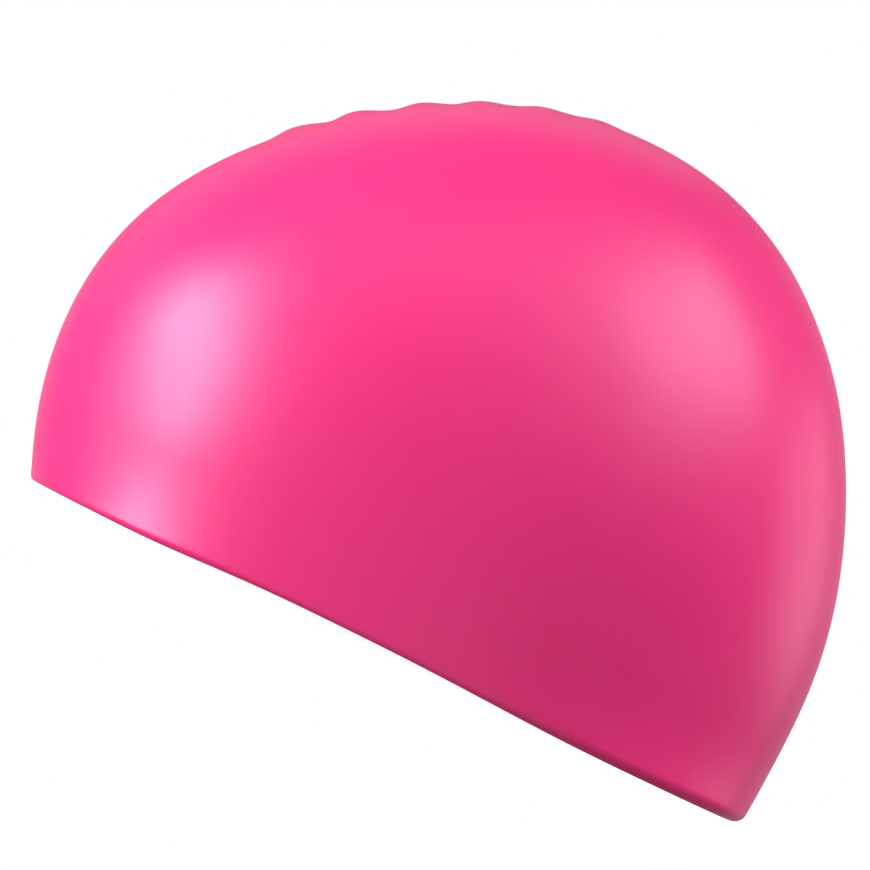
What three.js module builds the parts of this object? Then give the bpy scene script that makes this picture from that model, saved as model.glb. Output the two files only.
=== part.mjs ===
// Swim cap: one moulded silicone shell, standing on its rim as it would when put down empty.
// Millimetres. x runs across the cap, y from the forehead (minus) to the nape (plus), z up from the rim.

import * as THREE from 'three';

// Overall sizes
const capLength = 200;
const capWidth = 157;
const capHeight = 137.7;
const crownSetBack = 7.5; // the crown's highest point lies this far behind the middle of the length
const wall = 0.9;

// Rim: the wall thickens a little and rolls under into a lip, with a narrow flat to rest on and a round edge
const lip = 1.1; // how thick the wall is there
const rimFlat = 1;
const rollFront = 0.3; // radius inside the roll at the forehead
const rollNape = 1.9;
const lipHeight = 7; // from the rim up to where the wall has its plain thickness
const earLift = 1.6; // the rim rises this much over each ear
const earAngle = 78; // degrees around from the forehead to where it is highest
const foreheadRest = 40; // degrees of rim, to each side of the forehead, that stay down flat
const napeRest = 50; // the same at the nape

// Plan view of every section
const eggShare = 0.05; // the widest place lies behind the middle, as a share of the half length
const cornerFullness = 0.015; // how much fuller than an ellipse a section is between front, side and back
const rimFlare = 2.5; // how much further out the rim stands there
const flareHeight = 19; // from the rim up to where the wall begins to flare

// Sections from the rim up to the crown. Heights are shares of the cap's height. Reaches are shares of the
// distance from the crown point forward, of half the width, and of the distance from the crown point back.
const sections = [
  { up: 0, front: 0.913, side: 0.946, back: 0.988 },
  { up: 0.12, front: 0.968, side: 0.977, back: 0.997 },
  { up: 0.25, front: 0.998, side: 0.997, back: 0.997 },
  { up: 0.38, front: 0.993, side: 0.998, back: 0.972 },
  { up: 0.51, front: 0.946, side: 0.969, back: 0.915 },
  { up: 0.64, front: 0.847, side: 0.904, back: 0.827 },
  { up: 0.76, front: 0.703, side: 0.799, back: 0.711 },
  { up: 0.86, front: 0.537, side: 0.655, back: 0.568 },
  { up: 0.935, front: 0.366, side: 0.476, back: 0.408 },
  { up: 0.984, front: 0.183, side: 0.248, back: 0.216 },
  { up: 1, front: 0, side: 0, back: 0 },
];

// Ripples run across the front of the crown, foremost first. Places are shares of the distance from the
// crown point forward, heights are shares of the tallest ripple.
const rippleHeight = 1.2;
const rippleRise = 5.8; // from the valley in front of a ripple back to its ridge
const rippleFall = 7.5; // from its ridge back to the next valley
const rippleHalfWidth = 30; // a ripple fades out this far to each side of the middle
const ripples = [
  { forward: 0.721, height: 0.88 },
  { forward: 0.616, height: 1 },
  { forward: 0.495, height: 0.77 },
  { forward: 0.379, height: 0.62 },
  { forward: 0.25, height: 0.47 },
  { forward: 0.12, height: 0.38 },
];

// Steps of the mesh. The rings are closer together below one row of the sections, at the lip, and above
// another, at the ripples.
const stepsAround = 48;
const lipSteps = 4;
const sideSteps = 13;
const crownSteps = 30;
const roundSteps = 4;
const lipRow = 0.65;
const rippleRow = 5.4;
const nearby = 0.01; // a short step along the surface, in rows or radians, that gives its slope
const newtonPasses = 5;

const silicone = new THREE.MeshStandardMaterial({ color: 0xff3c8c, roughness: 0.38, metalness: 0 });

const forwardReach = capLength / 2 + crownSetBack;
const backReach = capLength / 2 - crownSetBack;
const lastRow = sections.length - 1;

// The columns as smooth curves over the row number. The rows are mirrored past the crown point, so that
// the surface runs level across it.
const mirrored = sections.slice(0, lastRow).reverse().map((row) => ({
  up: row.up, front: -row.front, side: -row.side, back: -row.back,
}));
const rows = [...sections, ...mirrored];
const columnNames = ['up', 'front', 'side', 'back'];
const columns = new THREE.CubicInterpolant(
  rows.map((row, index) => index),
  rows.flatMap((row) => columnNames.map((name) => row[name])),
  columnNames.length,
  new Float64Array(columnNames.length),
);

const smooth = (share) => {
  const s = Math.min(Math.max(share, 0), 1);
  return s * s * s * (s * (6 * s - 15) + 10);
};

// How much of the ear lift the rim has at an angle around the cap: 0 where it rests, 1 over the ear
function liftAt(turn) {
  const angle = THREE.MathUtils.radToDeg(Math.acos(Math.cos(turn)));
  const rise = (angle - foreheadRest) / (earAngle - foreheadRest);
  const fall = (180 - napeRest - angle) / (180 - napeRest - earAngle);
  return smooth(Math.min(rise, fall));
}

// A point of the outer surface without ripples: turn goes around from the forehead, row up the sections
function shellPoint(turn, row) {
  const [up, front, side, back] = columns.evaluate(row);
  const halfLength = (front * forwardReach + back * backReach) / 2;
  const middle = (back * backReach - front * forwardReach) / 2;
  const halfWidth = side * capWidth / 2;
  const corner = Math.sin(2 * turn) ** 2;
  const full = 1 + cornerFullness * corner;
  const flare = rimFlare * corner * Math.max(1 - capHeight * up / flareHeight, 0) ** 2;
  const egg = eggShare * Math.sin(turn) ** 2;
  const x = (halfWidth * full + flare) * Math.sin(turn);
  const y = crownSetBack + middle + halfLength * egg - (halfLength * full + flare) * Math.cos(turn);
  const z = capHeight * up + earLift * liftAt(turn) * (1 - up) ** 3;
  return new THREE.Vector3(x, y, z);
}

// The outward direction of that surface, from two short steps across the point
function shellNormal(turn, row) {
  const around = shellPoint(turn + nearby, row).sub(shellPoint(turn - nearby, row));
  const upward = shellPoint(turn, row + nearby).sub(shellPoint(turn, row - nearby));
  return around.cross(upward).normalize();
}

// The radius inside the roll at an angle around the cap
const rollAt = (turn) => THREE.MathUtils.lerp(rollFront, rollNape, (1 - Math.cos(turn)) / 2);

// The row where the wall ends and its roll begins: there the wall stands above the rim by as much as the roll
// is high. A few Newton steps find it.
function footRow(turn) {
  let row = 0;
  for (let pass = 0; pass < newtonPasses; pass += 1) {
    const target = earLift * liftAt(turn) + (rollAt(turn) + lip) * (1 + shellNormal(turn, row).z);
    const slope = (shellPoint(turn, row + nearby).z - shellPoint(turn, row).z) / nearby;
    row += (target - shellPoint(turn, row).z) / slope;
  }
  return row;
}

// One ripple: a half cosine wave up to the ridge and a longer one down behind it
function rippleWave(ahead) {
  const reach = ahead > 0 ? rippleRise : rippleFall;
  return Math.abs(ahead) < reach ? (1 + Math.cos(Math.PI * ahead / reach)) / 2 : 0;
}

function rippleAt(point) {
  const fade = Math.max(1 - (point.x / rippleHalfWidth) ** 2, 0) ** 2;
  const ahead = crownSetBack - point.y;
  const waves = ripples.map((ripple) => ripple.height * rippleWave(ahead - ripple.forward * forwardReach));
  return rippleHeight * fade * Math.max(...waves);
}

// The rows of the rings as shares of the way from the foot of the wall to the crown point
function ringShares() {
  const lipShare = lipRow / lastRow;
  const rippleShare = rippleRow / lastRow;
  const shares = [];
  for (let i = 0; i < lipSteps; i += 1) {
    shares.push(lipShare * i / lipSteps);
  }
  for (let i = 0; i < sideSteps; i += 1) {
    shares.push(THREE.MathUtils.lerp(lipShare, rippleShare, i / sideSteps));
  }
  for (let i = 0; i < crownSteps; i += 1) {
    shares.push(THREE.MathUtils.lerp(rippleShare, 1, i / crownSteps));
  }
  return shares;
}

// One slice through the wall at an angle around the cap, from just outside the crown point down the outside,
// around the roll and its edge, and up the inside
function slice(turn, shares) {
  const foot = footRow(turn);
  const footPoint = shellPoint(turn, foot);
  const footNormal = shellNormal(turn, foot);
  const roll = rollAt(turn);
  const outward = new THREE.Vector3(footNormal.x, footNormal.y, 0).normalize();
  const lean = Math.asin(-footNormal.z);
  const rest = earLift * liftAt(turn);

  const outer = [];
  const inner = [];
  for (const share of shares) {
    const row = foot + (lastRow - foot) * share;
    const point = shellPoint(turn, row);
    const normal = shellNormal(turn, row);
    const ripple = rippleAt(point);
    const thickness = THREE.MathUtils.lerp(lip, wall, smooth(point.distanceTo(footPoint) / lipHeight));
    outer.push(point.clone().addScaledVector(normal, ripple));
    inner.push(point.clone().addScaledVector(normal, ripple - thickness));
  }

  const rollCentre = footPoint.clone().addScaledVector(footNormal, -roll - lip);
  const edgeCentre = rollCentre.clone().addScaledVector(outward, -rimFlat).setZ(rest + lip / 2);
  const arc = (centre, radius, from, to) => {
    const points = [];
    for (let i = 0; i <= roundSteps; i += 1) {
      const angle = THREE.MathUtils.lerp(from, to, i / roundSteps);
      const point = centre.clone().addScaledVector(outward, radius * Math.cos(angle));
      points.push(point.setZ(centre.z + radius * Math.sin(angle)));
    }
    return points;
  };
  const rollOutside = arc(rollCentre, roll + lip, -lean, -Math.PI / 2);
  const edge = arc(edgeCentre, lip / 2, -Math.PI / 2, -3 * Math.PI / 2);
  const rollInside = arc(rollCentre, roll, -Math.PI / 2, -lean);
  rollOutside[roundSteps].setZ(rest);
  edge[0].setZ(rest);

  return [...outer.reverse(), ...rollOutside.slice(1), ...edge, ...rollInside, ...inner.slice(1)];
}

// All slices side by side, closed at the crown by one point outside and one inside
function capGeometry() {
  const shares = ringShares();
  const positions = [];
  for (let i = 0; i < stepsAround; i += 1) {
    for (const point of slice(2 * Math.PI * i / stepsAround, shares)) {
      positions.push(...point.toArray());
    }
  }
  const perSlice = positions.length / 3 / stepsAround;

  const crown = shellPoint(0, lastRow);
  const outerCrown = perSlice * stepsAround;
  const innerCrown = outerCrown + 1;
  crown.z += rippleAt(crown);
  positions.push(...crown.toArray());
  positions.push(crown.x, crown.y, crown.z - wall);

  const index = [];
  for (let i = 0; i < stepsAround; i += 1) {
    const here = i * perSlice;
    const next = (i + 1) % stepsAround * perSlice;
    index.push(outerCrown, here, next);
    for (let k = 0; k < perSlice - 1; k += 1) {
      index.push(here + k, here + k + 1, next + k);
      index.push(next + k, here + k + 1, next + k + 1);
    }
    index.push(here + perSlice - 1, innerCrown, next + perSlice - 1);
  }

  const geometry = new THREE.BufferGeometry();
  geometry.setAttribute('position', new THREE.Float32BufferAttribute(positions, 3));
  geometry.setIndex(index);
  geometry.computeVertexNormals();
  return geometry;
}

const cap = new THREE.Group();
const shell = new THREE.Mesh(capGeometry(), silicone);
shell.name = 'cap_shell';
cap.add(shell);

export default cap;
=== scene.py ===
import math

import bpy
import numpy as np
from mathutils import Matrix, Vector


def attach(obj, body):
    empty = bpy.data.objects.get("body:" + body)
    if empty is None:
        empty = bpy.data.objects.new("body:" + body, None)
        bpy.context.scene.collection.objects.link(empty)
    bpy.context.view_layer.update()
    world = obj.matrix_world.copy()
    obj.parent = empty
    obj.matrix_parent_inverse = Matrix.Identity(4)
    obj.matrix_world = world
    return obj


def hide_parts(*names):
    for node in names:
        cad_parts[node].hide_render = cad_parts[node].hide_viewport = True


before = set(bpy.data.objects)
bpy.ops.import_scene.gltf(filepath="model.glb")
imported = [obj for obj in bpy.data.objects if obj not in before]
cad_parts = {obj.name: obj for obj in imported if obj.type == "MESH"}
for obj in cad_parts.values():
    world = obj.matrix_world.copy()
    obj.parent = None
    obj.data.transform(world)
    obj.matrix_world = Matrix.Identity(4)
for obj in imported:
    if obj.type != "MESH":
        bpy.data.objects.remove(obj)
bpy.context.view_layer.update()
mm = 0.001

scene = bpy.context.scene


def addObject(name, data):
    made = bpy.data.objects.new(name, data)
    scene.collection.objects.link(made)
    return made


# A curve of the fifth degree from 0 to 1, with no slope and no curvature at either end
def smoothStep(share):
    s = np.clip(share, 0, 1)
    return s ** 3 * (s * (6 * s - 15) + 10)


# Camera: beside the cap, a little above the floor, and rolled as the photograph is
camera = {
    "distance": 2000,        # to the cap's middle plane
    "height": 25,            # above the floor
    "aimAlong": -8.0,        # the picture's middle on that plane, from the origin towards the nape
    "aimHeight": 52.0,       # and above the floor
    "pictureWidth": 208.96,  # what the picture takes in there
    "roll": 26.03,           # degrees, so that the rim runs down to the right
    "sensor": 36,
    "nearest": 50,           # how near and how far the camera sees
    "furthest": 30000,
}


# The picture's own axes in the world: to its right, to its top, and out of it to the camera
def pictureAxes(c):
    back = Vector((c["distance"], 0, c["height"] - c["aimHeight"])).normalized()
    level = Vector((0, 1, 0))
    upright = back.cross(level)
    roll = math.radians(c["roll"])
    right = level * math.cos(roll) + upright * math.sin(roll)
    return right, back.cross(right), back


# The lens is to the sensor's width as the distance is to the picture's width
def makeCamera(c):
    eye = Vector((c["distance"], c["aimAlong"], c["height"]))
    target = Vector((0, c["aimAlong"], c["aimHeight"]))
    data = bpy.data.cameras.new("camera")
    data.sensor_width = c["sensor"]
    data.lens = c["sensor"] * (eye - target).length / c["pictureWidth"]
    data.clip_start = c["nearest"] * mm
    data.clip_end = c["furthest"] * mm
    turn = Matrix(pictureAxes(c)).transposed().to_4x4()
    made = addObject("camera", data)
    made.matrix_world = Matrix.Translation(eye * mm) @ turn
    scene.camera = made


makeCamera(camera)
print("camera set")

# Cap: the same sizes as the part
cap = {
    "length": 200,
    "width": 157,
    "height": 137.7,
    "crownSetBack": 7.5,   # the crown's highest point lies this far behind the middle of the length
    "wall": 0.9,
    "lip": 1.1,            # how thick the wall is where it rolls under
    "lipHeight": 7,        # from the rim up to where the wall has its plain thickness
    "rimFlat": 1.0,
    "rollFront": 0.3,      # radius inside the roll at the forehead
    "rollNape": 1.9,
    "earLift": 1.6,        # the rim rises this much over each ear
    "earAngle": 78,        # degrees around from the forehead to there
    "foreheadRest": 40,    # degrees of rim to each side of the forehead that stay down flat
    "napeRest": 50,
    "egg": 0.05,           # the widest place lies behind the middle, as a share of the half length
    "fullness": 0.015,     # fuller than an ellipse between front, side and back
    "rimFlare": 2.5,       # how much further out the rim stands there
    "flareHeight": 19,
    # rim to crown: height, then reach to the front, side and back, as shares
    "sections": (
        (0.000, 0.913, 0.946, 0.988),
        (0.120, 0.968, 0.977, 0.997),
        (0.250, 0.998, 0.997, 0.997),
        (0.380, 0.993, 0.998, 0.972),
        (0.510, 0.946, 0.969, 0.915),
        (0.640, 0.847, 0.904, 0.827),
        (0.760, 0.703, 0.799, 0.711),
        (0.860, 0.537, 0.655, 0.568),
        (0.935, 0.366, 0.476, 0.408),
        (0.984, 0.183, 0.248, 0.216),
        (1.000, 0.000, 0.000, 0.000),
    ),
    "rippleHeight": 1.2,
    "rippleRise": 5.8,      # from the valley in front of a ripple back to its ridge
    "rippleFall": 7.5,      # from its ridge back to the next valley
    "rippleHalfWidth": 30,  # a ripple fades out this far to each side
    # foremost first: place as a share of the forward reach, height as a share of the tallest
    "ripples": ((0.721, 0.88), (0.616, 1.0), (0.495, 0.77), (0.379, 0.62), (0.25, 0.47), (0.12, 0.38)),
    # the mesh: slices around, and rings below the lip's row, up to the ripples' row and up to the crown
    "around": 288,
    "outerRings": (12, 50, 104),
    "innerRings": (10, 36, 72),
    "lipRow": 0.65,
    "rippleRow": 5.4,
    "roundSteps": 9,
    "nearby": 0.004,        # a short step along the surface, in rows or radians, that gives its slope
    "newtonSteps": 6,
}


# Slopes of the smooth curve through rows one apart: its curvature doesn't jump, and its ends are straight
def splineSlopes(values):
    count = len(values)
    links = np.zeros((count, count))
    steps = np.zeros_like(values)
    for i in range(1, count - 1):
        links[i, i - 1:i + 2] = (1, 4, 1)
        steps[i] = 3 * (values[i + 1] - values[i - 1])
    links[0, :2] = (2, 1)
    links[-1, -2:] = (1, 2)
    steps[0] = 3 * (values[1] - values[0])
    steps[-1] = 3 * (values[-1] - values[-2])
    return np.linalg.solve(links, steps)


# The outer surface as a function of the turn around the cap and the row up the sections
class Shell:
    def __init__(self, c):
        self.c = c
        rows = np.array(c["sections"])
        beyond = rows[-2::-1] * (1, -1, -1, -1)   # mirrored past the crown, so that it is level there
        self.rows = np.vstack([rows, beyond])
        self.slopes = splineSlopes(self.rows)
        self.last = len(rows) - 1
        self.forward = c["length"] / 2 + c["crownSetBack"]
        self.back = c["length"] / 2 - c["crownSetBack"]

    # the table's four columns at any row: a cubic between two rows, with their values and slopes
    def columns(self, row):
        i = np.clip(np.floor(row).astype(int), 0, len(self.rows) - 2)
        f = (row - i)[..., None]
        a, b, da, db = self.rows[i], self.rows[i + 1], self.slopes[i], self.slopes[i + 1]
        value = a * (1 + 2 * f) * (1 - f) ** 2 + b * f ** 2 * (3 - 2 * f)
        value = value + da * f * (1 - f) ** 2 - db * f ** 2 * (1 - f)
        return np.moveaxis(value, -1, 0)

    # how high the rim is: up smoothly from the forehead's rest to the ear, and down to the nape's
    def lift(self, turn):
        c = self.c
        angle = np.degrees(np.arccos(np.cos(turn)))
        rise = (angle - c["foreheadRest"]) / (c["earAngle"] - c["foreheadRest"])
        fallSpan = 180 - c["napeRest"] - c["earAngle"]
        fall = (180 - c["napeRest"] - angle) / fallSpan
        return c["earLift"] * smoothStep(np.minimum(rise, fall))

    # half the width times the turn's sine and half the length times its cosine, made a little fuller between
    # them, flared near the rim and pushed back into an egg, at the section's height plus a share of the lift
    def point(self, turn, row):
        c = self.c
        up, front, side, back = self.columns(row)
        halfLength = (front * self.forward + back * self.back) / 2
        middle = (back * self.back - front * self.forward) / 2
        corner = np.sin(2 * turn) ** 2
        full = 1 + c["fullness"] * corner
        low = np.clip(1 - c["height"] * up / c["flareHeight"], 0, None)
        flare = c["rimFlare"] * corner * low ** 2
        egg = c["egg"] * np.sin(turn) ** 2
        x = (side * c["width"] / 2 * full + flare) * np.sin(turn)
        y = c["crownSetBack"] + middle + halfLength * egg - (halfLength * full + flare) * np.cos(turn)
        z = c["height"] * up + self.lift(turn) * (1 - up) ** 3
        return np.stack([x, y, z], -1)

    # square to a short step around and a short step up
    def normal(self, turn, row):
        d = self.c["nearby"]
        row = np.minimum(row, self.last - d)
        across = self.point(turn + d, row) - self.point(turn - d, row)
        upward = self.point(turn, row + d) - self.point(turn, row - d)
        n = np.cross(across, upward)
        return n / np.linalg.norm(n, axis=-1, keepdims=True)

    # the radius inside the rim's roll, growing from the forehead to the nape
    def roll(self, turn):
        c = self.c
        return c["rollFront"] + (c["rollNape"] - c["rollFront"]) * (1 - np.cos(turn)) / 2

    # the row where the wall ends and the roll begins: the wall there is as high above the rim as the roll is,
    # which a few Newton steps find
    def foot(self, turn):
        c = self.c
        d = c["nearby"]
        row = np.zeros_like(turn)
        for attempt in range(c["newtonSteps"]):
            rollHeight = (self.roll(turn) + c["lip"]) * (1 + self.normal(turn, row)[..., 2])
            height = self.point(turn, row)[..., 2]
            slope = (self.point(turn, row + d)[..., 2] - height) / d
            row = row + (self.lift(turn) + rollHeight - height) / slope
        return row

    # half cosine waves, steeper in front than behind, fading out to each side
    def ripple(self, point):
        c = self.c
        fade = np.clip(1 - (point[..., 0] / c["rippleHalfWidth"]) ** 2, 0, 1) ** 2
        ahead = c["crownSetBack"] - point[..., 1]
        tallest = np.zeros_like(ahead)
        for forward, height in c["ripples"]:
            d = ahead - forward * self.forward
            reach = np.where(d > 0, c["rippleRise"], c["rippleFall"])
            wave = (1 + np.cos(np.pi * np.clip(d / reach, -1, 1))) / 2
            tallest = np.maximum(tallest, height * wave)
        return c["rippleHeight"] * fade * tallest

    # the rings as shares of the way from the foot to the crown, evenly within each of three stretches
    def ringShares(self, counts):
        c = self.c
        ends = (0, c["lipRow"] / self.last, c["rippleRow"] / self.last, 1)
        runs = [np.linspace(ends[i], ends[i + 1], counts[i], endpoint=False) for i in range(3)]
        return np.concatenate(runs)


# A grid: slices around the cap, and along each slice the outside from the crown down, the outside of the
# roll, the flat, the lip's round edge, the inside of the roll and the inside back up. One point closes each
# side at the crown.
def capMesh(c):
    shell = Shell(c)
    turn = np.linspace(0, 2 * np.pi, c["around"], endpoint=False)[:, None]
    foot = shell.foot(turn)
    footPoint = shell.point(turn, foot)
    footNormal = shell.normal(turn, foot)
    roll = shell.roll(turn)
    lip = c["lip"]
    outward = footNormal * (1, 1, 0)
    outward = outward / np.linalg.norm(outward, axis=-1, keepdims=True)
    lean = np.arcsin(-footNormal[..., 2])

    # the surface moved out by the ripple, and on the inside also in by the thickness
    def wallPoints(shares, inside):
        row = foot + (shell.last - foot) * shares[None, :]
        point = shell.point(turn, row)
        away = np.linalg.norm(point - footPoint, axis=-1)
        thickness = lip + (c["wall"] - lip) * smoothStep(away / c["lipHeight"])
        offset = shell.ripple(point) - (thickness if inside else 0)
        return point + shell.normal(turn, row) * offset[..., None]

    # an arc in the slice's upright plane
    def roundPoints(centre, radius, start, end):
        share = np.linspace(0, 1, c["roundSteps"] + 1)[None, :]
        angle = start + (end - start) * share
        out = outward * (radius * np.cos(angle))[..., None]
        rise = np.zeros_like(out)
        rise[..., 2] = radius * np.sin(angle)
        return centre + out + rise

    rollCentre = footPoint - footNormal * (roll + lip)[..., None]
    edgeCentre = rollCentre - outward * c["rimFlat"]
    edgeCentre[..., 2] = shell.lift(turn) + lip / 2
    rollOutside = roundPoints(rollCentre, roll + lip, -lean, -np.pi / 2)
    edge = roundPoints(edgeCentre, lip / 2, -np.pi / 2, -3 * np.pi / 2)
    rollInside = roundPoints(rollCentre, roll, -np.pi / 2, -lean)
    outside = wallPoints(shell.ringShares(c["outerRings"]), False)[:, ::-1]
    inside = wallPoints(shell.ringShares(c["innerRings"]), True)
    grid = np.concatenate([outside, rollOutside[:, 1:], edge, rollInside, inside[:, 1:]], axis=1)

    around, along = grid.shape[:2]
    crown = shell.point(np.array(0.0), np.array(float(shell.last)))
    crown[2] += shell.ripple(crown)
    corners = np.vstack([grid.reshape(-1, 3), crown, crown - (0, 0, c["wall"])]) * mm

    here = np.arange(around)[:, None] * along + np.arange(along - 1)[None, :]
    there = (here + along) % (around * along)
    quads = np.stack([here, here + 1, there + 1, there], -1).reshape(-1, 4)
    first = np.arange(around) * along
    second = (first + along) % (around * along)
    crownOut = np.full(around, around * along)
    topFan = np.stack([crownOut, first, second], -1)
    innerFan = np.stack([first + along - 1, crownOut + 1, second + along - 1], -1)
    mesh = bpy.data.meshes.new("swim_cap")
    mesh.from_pydata(corners.tolist(), [], quads.tolist() + topFan.tolist() + innerFan.tolist())
    mesh.shade_smooth()
    mesh.validate()
    return mesh


swimCap = addObject("swim_cap", capMesh(cap))
print("cap shell:", len(swimCap.data.polygons), "faces")

# Silicone: satin, slightly see-through at its surface, with a very fine grain
silicone = {
    "colour": (1.0, 0.034, 0.235, 1.0),
    "shade": (0.97, 0.03, 0.225, 1.0),   # where the pigment lies a little thicker
    "cloudScale": 22,                    # clouds to a metre
    "cloudDetail": 3,
    "cloudRange": (0.2, 0.5),            # the noise values that give the full shade and the full colour
    "roughness": 0.36,
    "roughnessSpread": 0.05,
    "wipeScale": 60,                     # wiped patches to a metre
    "wipeDetail": 5,
    "scatter": 0.4,
    "scatterRadius": (2.4, 0.6, 0.9),    # mm
    "specular": 0.66,
    "glossTint": (1.0, 0.72, 1.0, 1.0),
    "grainSize": 0.35,                   # mm
    "grainHeight": 0.006,                # mm
    "grainDetail": 2,
}


def node(tree, kind, **inputs):
    made = tree.nodes.new(kind)
    for name, value in inputs.items():
        made.inputs[name].default_value = value
    return made


def siliconeMaterial(m):
    material = bpy.data.materials.new("pinkSilicone")
    material.use_nodes = True
    tree = material.node_tree
    link = tree.links.new
    shader = tree.nodes["Principled BSDF"]
    shader.inputs["Specular IOR Level"].default_value = m["specular"]
    shader.inputs["Specular Tint"].default_value = m["glossTint"]
    shader.inputs["Subsurface Weight"].default_value = m["scatter"]
    shader.inputs["Subsurface Radius"].default_value = m["scatterRadius"]
    shader.inputs["Subsurface Scale"].default_value = mm

    place = node(tree, "ShaderNodeTexCoord")
    # broad, faint clouds of pigment
    clouds = node(tree, "ShaderNodeTexNoise", Scale=m["cloudScale"], Detail=m["cloudDetail"])
    tint = node(tree, "ShaderNodeValToRGB")
    shaded, plain = tint.color_ramp.elements
    shaded.position, plain.position = m["cloudRange"]
    shaded.color = m["shade"]
    plain.color = m["colour"]
    link(place.outputs["Object"], clouds.inputs["Vector"])
    link(clouds.outputs["Fac"], tint.inputs["Fac"])
    link(tint.outputs["Color"], shader.inputs["Base Color"])
    # the gloss changes a little from place to place, as on a wiped rubber surface
    wiped = node(tree, "ShaderNodeTexNoise", Scale=m["wipeScale"], Detail=m["wipeDetail"])
    gloss = node(tree, "ShaderNodeMapRange")
    gloss.inputs["To Min"].default_value = m["roughness"] - m["roughnessSpread"]
    gloss.inputs["To Max"].default_value = m["roughness"] + m["roughnessSpread"]
    link(place.outputs["Object"], wiped.inputs["Vector"])
    link(wiped.outputs["Fac"], gloss.inputs["Value"])
    link(gloss.outputs["Result"], shader.inputs["Roughness"])
    # moulded grain
    grain = node(tree, "ShaderNodeTexNoise", Scale=1 / (m["grainSize"] * mm), Detail=m["grainDetail"])
    bump = node(tree, "ShaderNodeBump", Distance=m["grainHeight"] * mm, Strength=1)
    link(place.outputs["Object"], grain.inputs["Vector"])
    link(grain.outputs["Fac"], bump.inputs["Height"])
    link(bump.outputs["Normal"], shader.inputs["Normal"])
    return material


swimCap.data.materials.append(siliconeMaterial(silicone))
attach(swimCap, "root")
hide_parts("cap_shell")
print("silicone set")

# Studio: a pale floor, a white surround and soft light boxes
studio = {
    "floorColour": (0.95, 0.95, 0.95, 1.0),
    "floorRoughness": 0.8,
    "floorGlow": 0.97,           # lifts the floor to white, also under the rim
    "floorFade": (0.3, 0.8),     # m from the origin, where the floor begins to fade and where it ends
    "white": (1.0, 1.0, 1.0, 1.0),
    "surroundLight": 0.16,       # the surround's strength as a light
    "surroundSeen": 1.0,         # and as the camera sees it
    "aim": (0, 0, 60),           # mm, what the boxes face
    "boxDistance": 0.9,          # m from there
    # seen from the camera: degrees round to the right, up and leaning over, then metres wide and high, and
    # watts
    "lights": {
        "leftBox": (-69.5, 25.5, 30, 0.33, 0.56, 6.6),
        "leftSoft": (-75, 24, 20, 0.75, 0.80, 2.8),
        "rightBox": (68.5, 29, 0, 0.68, 0.51, 4.0),
        "rightSoft": (60, 30, 0, 1.10, 0.90, 2.7),
        "topSoft": (40, 45, 0, 1.20, 0.90, 1.2),
        "topLeft": (-30, 60, 0, 0.90, 0.70, 0.6),
        "edgeBox": (115, -8, 0, 0.60, 0.50, 1.1),
        "backBox": (184, -8, 0, 1.20, 0.80, 0.9),
        "crownBox": (195, 40, 0, 1.20, 0.50, 0.6),
        "lowSoft": (-20, -42, 0, 1.00, 1.00, 1.3),
    },
}


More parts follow.
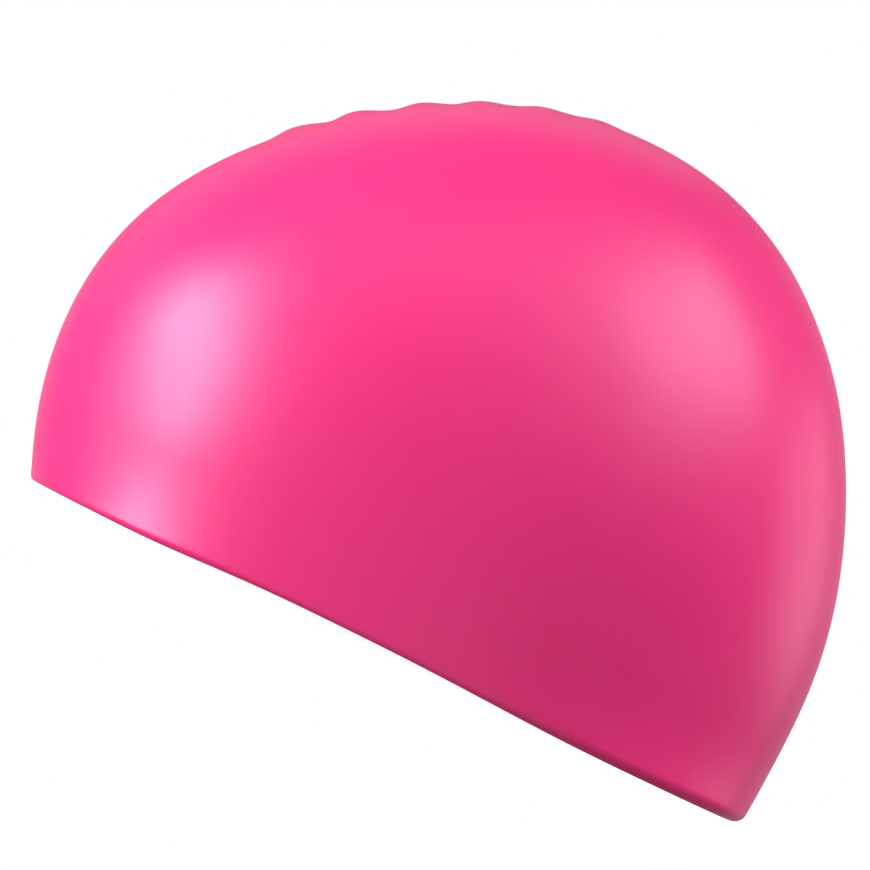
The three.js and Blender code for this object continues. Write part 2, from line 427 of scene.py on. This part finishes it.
# A flat floor that fades out into the white surround, so that no far edge shows behind the cap. It throws no
# light on the cap and hides no light box, so a box below it can light the cap too.
def makeFloor(s):
    fadeStart, half = s["floorFade"]
    corners = [(-half, -half, 0), (half, -half, 0), (half, half, 0), (-half, half, 0)]
    mesh = bpy.data.meshes.new("floor")
    mesh.from_pydata(corners, [], [(0, 1, 2, 3)])
    material = bpy.data.materials.new("paleFloor")
    material.use_nodes = True
    tree = material.node_tree
    shader = tree.nodes["Principled BSDF"]
    shader.inputs["Base Color"].default_value = s["floorColour"]
    shader.inputs["Roughness"].default_value = s["floorRoughness"]
    shader.inputs["Emission Color"].default_value = s["white"]
    shader.inputs["Emission Strength"].default_value = s["floorGlow"]
    place = node(tree, "ShaderNodeTexCoord")
    away = node(tree, "ShaderNodeVectorMath")
    away.operation = "LENGTH"
    fade = node(tree, "ShaderNodeMapRange")
    fade.interpolation_type = "SMOOTHERSTEP"
    fade.inputs["From Min"].default_value = fadeStart
    fade.inputs["From Max"].default_value = half
    fade.inputs["To Min"].default_value = 1
    fade.inputs["To Max"].default_value = 0
    tree.links.new(place.outputs["Object"], away.inputs[0])
    tree.links.new(away.outputs["Value"], fade.inputs["Value"])
    tree.links.new(fade.outputs["Result"], shader.inputs["Alpha"])
    mesh.materials.append(material)
    made = addObject("floor", mesh)
    made.visible_diffuse = False
    made.visible_glossy = False
    made.visible_shadow = False


# White where the camera sees it, dimmer as a light, so that the cap keeps its shading
def makeSurround(s):
    world = bpy.data.worlds.new("surround")
    world.use_nodes = True
    tree = world.node_tree
    tree.nodes.clear()
    asLight = node(tree, "ShaderNodeBackground", Color=s["white"], Strength=s["surroundLight"])
    asSeen = node(tree, "ShaderNodeBackground", Color=s["white"], Strength=s["surroundSeen"])
    ray = node(tree, "ShaderNodeLightPath")
    mix = node(tree, "ShaderNodeMixShader")
    out = node(tree, "ShaderNodeOutputWorld")
    tree.links.new(ray.outputs["Is Camera Ray"], mix.inputs["Fac"])
    tree.links.new(asLight.outputs["Background"], mix.inputs[1])
    tree.links.new(asSeen.outputs["Background"], mix.inputs[2])
    tree.links.new(mix.outputs["Shader"], out.inputs["Surface"])
    scene.world = world


# A light box that faces the cap. It stands upright in the picture, or leans over to the right as the cap
# sees it.
def makeLight(s, name, around, rise, lean, width, height, watts):
    data = bpy.data.lights.new(name, "AREA")
    data.shape = "RECTANGLE"
    data.size = width
    data.size_y = height
    data.energy = watts
    right, up, back = pictureAxes(camera)
    side, above = math.radians(around), math.radians(rise)
    level = right * math.sin(side) + back * math.cos(side)
    away = level * math.cos(above) + up * math.sin(above)
    across = up.cross(away).normalized()
    turn = Matrix((across, away.cross(across), away)).transposed().to_4x4()
    turn = turn @ Matrix.Rotation(math.radians(lean), 4, "Z")
    made = addObject(name, data)
    made.matrix_world = Matrix.Translation(Vector(s["aim"]) * mm + away * s["boxDistance"]) @ turn
    made.visible_camera = False


makeFloor(studio)
makeSurround(studio)
for name, placing in studio["lights"].items():
    makeLight(studio, name, *placing)
scene.view_settings.view_transform = "Standard"
scene.view_settings.look = "None"
print("studio set")
